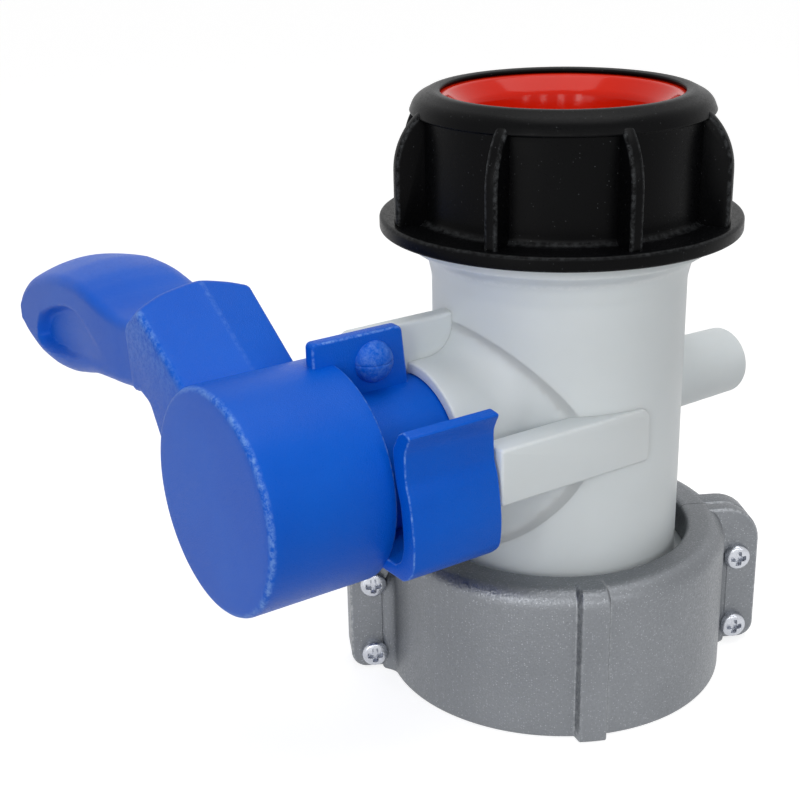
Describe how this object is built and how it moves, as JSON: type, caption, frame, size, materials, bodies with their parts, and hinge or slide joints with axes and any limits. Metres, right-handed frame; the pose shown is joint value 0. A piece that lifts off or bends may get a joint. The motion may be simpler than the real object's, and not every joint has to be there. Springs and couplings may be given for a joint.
{
  "type": "container drain valve",
  "caption": "Plastic butterfly drain valve for a bulk liquid container, with a lever handle, a dished screw cap and a two-piece cast collar nut.",
  "frame": {"origin": "centre of the collar's open end, on the flow axis", "axes": "+Z along the flow axis from the tank to the outlet, -X along the stem to the handle, +Y along the lever when the valve is shut"},
  "size_m": [0.1523, 0.1476, 0.146],
  "materials": {
    "hdpe_natural": "natural translucent blow-grade polyethylene, satin",
    "hdpe_blue": "moulded blue polyethylene, fine grain",
    "pp_black": "moulded black polypropylene, semi-gloss",
    "pp_red": "moulded red polypropylene, gloss",
    "pp_disc": "moulded polypropylene",
    "nylon_filled": "glass-filled nylon",
    "acetal": "turned acetal",
    "epdm": "moulded rubber",
    "seal_white": "die-cut polyethylene foam",
    "aluminium_cast": "die-cast, tumbled",
    "zinc_steel": "zinc plated",
    "stainless": "turned stainless steel"
  },
  "bodies": {
    "valve": {"valve_body": "hdpe_natural", "tank_gasket": "epdm", "stem_bush_outer": "acetal", "stem_bush_blind": "acetal"},
    "rotor": {"handle": "hdpe_blue", "handle_lock_pin": "stainless", "neck_snap_ring": "stainless", "stem": "nylon_filled", "stem_oring_outer": "epdm", "stem_oring_inner": "epdm", "stem_oring_blind": "epdm", "disc_outlet_half": "pp_disc", "disc_tank_half": "pp_disc", "disc_seal": "epdm", "disc_screws": "stainless"},
    "cap_plug": {"cap_insert": "pp_red", "cap_gasket": "seal_white"},
    "cap_nut": {"cap_ring": "pp_black"},
    "collar": {"collar_front_half": "aluminium_cast", "collar_rear_half": "aluminium_cast", "collar_screws_left": "zinc_steel", "collar_screws_right": "zinc_steel"}
  },
  "joints": [
    {"name": "handle_turn", "type": "hinge", "parent": "valve", "child": "rotor", "pos_m": [0, 0, 0.067], "axis": [1, 0, 0], "range_deg": [0, 90]},
    {"name": "cap_lift", "type": "slide", "parent": "valve", "child": "cap_plug", "axis": [0, 0, 1], "range_m": [0, 0.0241]},
    {"name": "cap_turn", "type": "hinge", "parent": "cap_plug", "child": "cap_nut", "pos_m": [0, 0, 0.113], "axis": [0, 0, 1], "range_deg": [0, 1440]},
    {"name": "collar_turn", "type": "hinge", "parent": "valve", "child": "collar", "pos_m": [0, 0, 0], "axis": [0, 0, 1], "continuous": true}
  ],
  "couplings": [
    {"joint": "cap_lift", "follows": "cap_turn", "m_per_rad": 0.00095493}
  ]
}
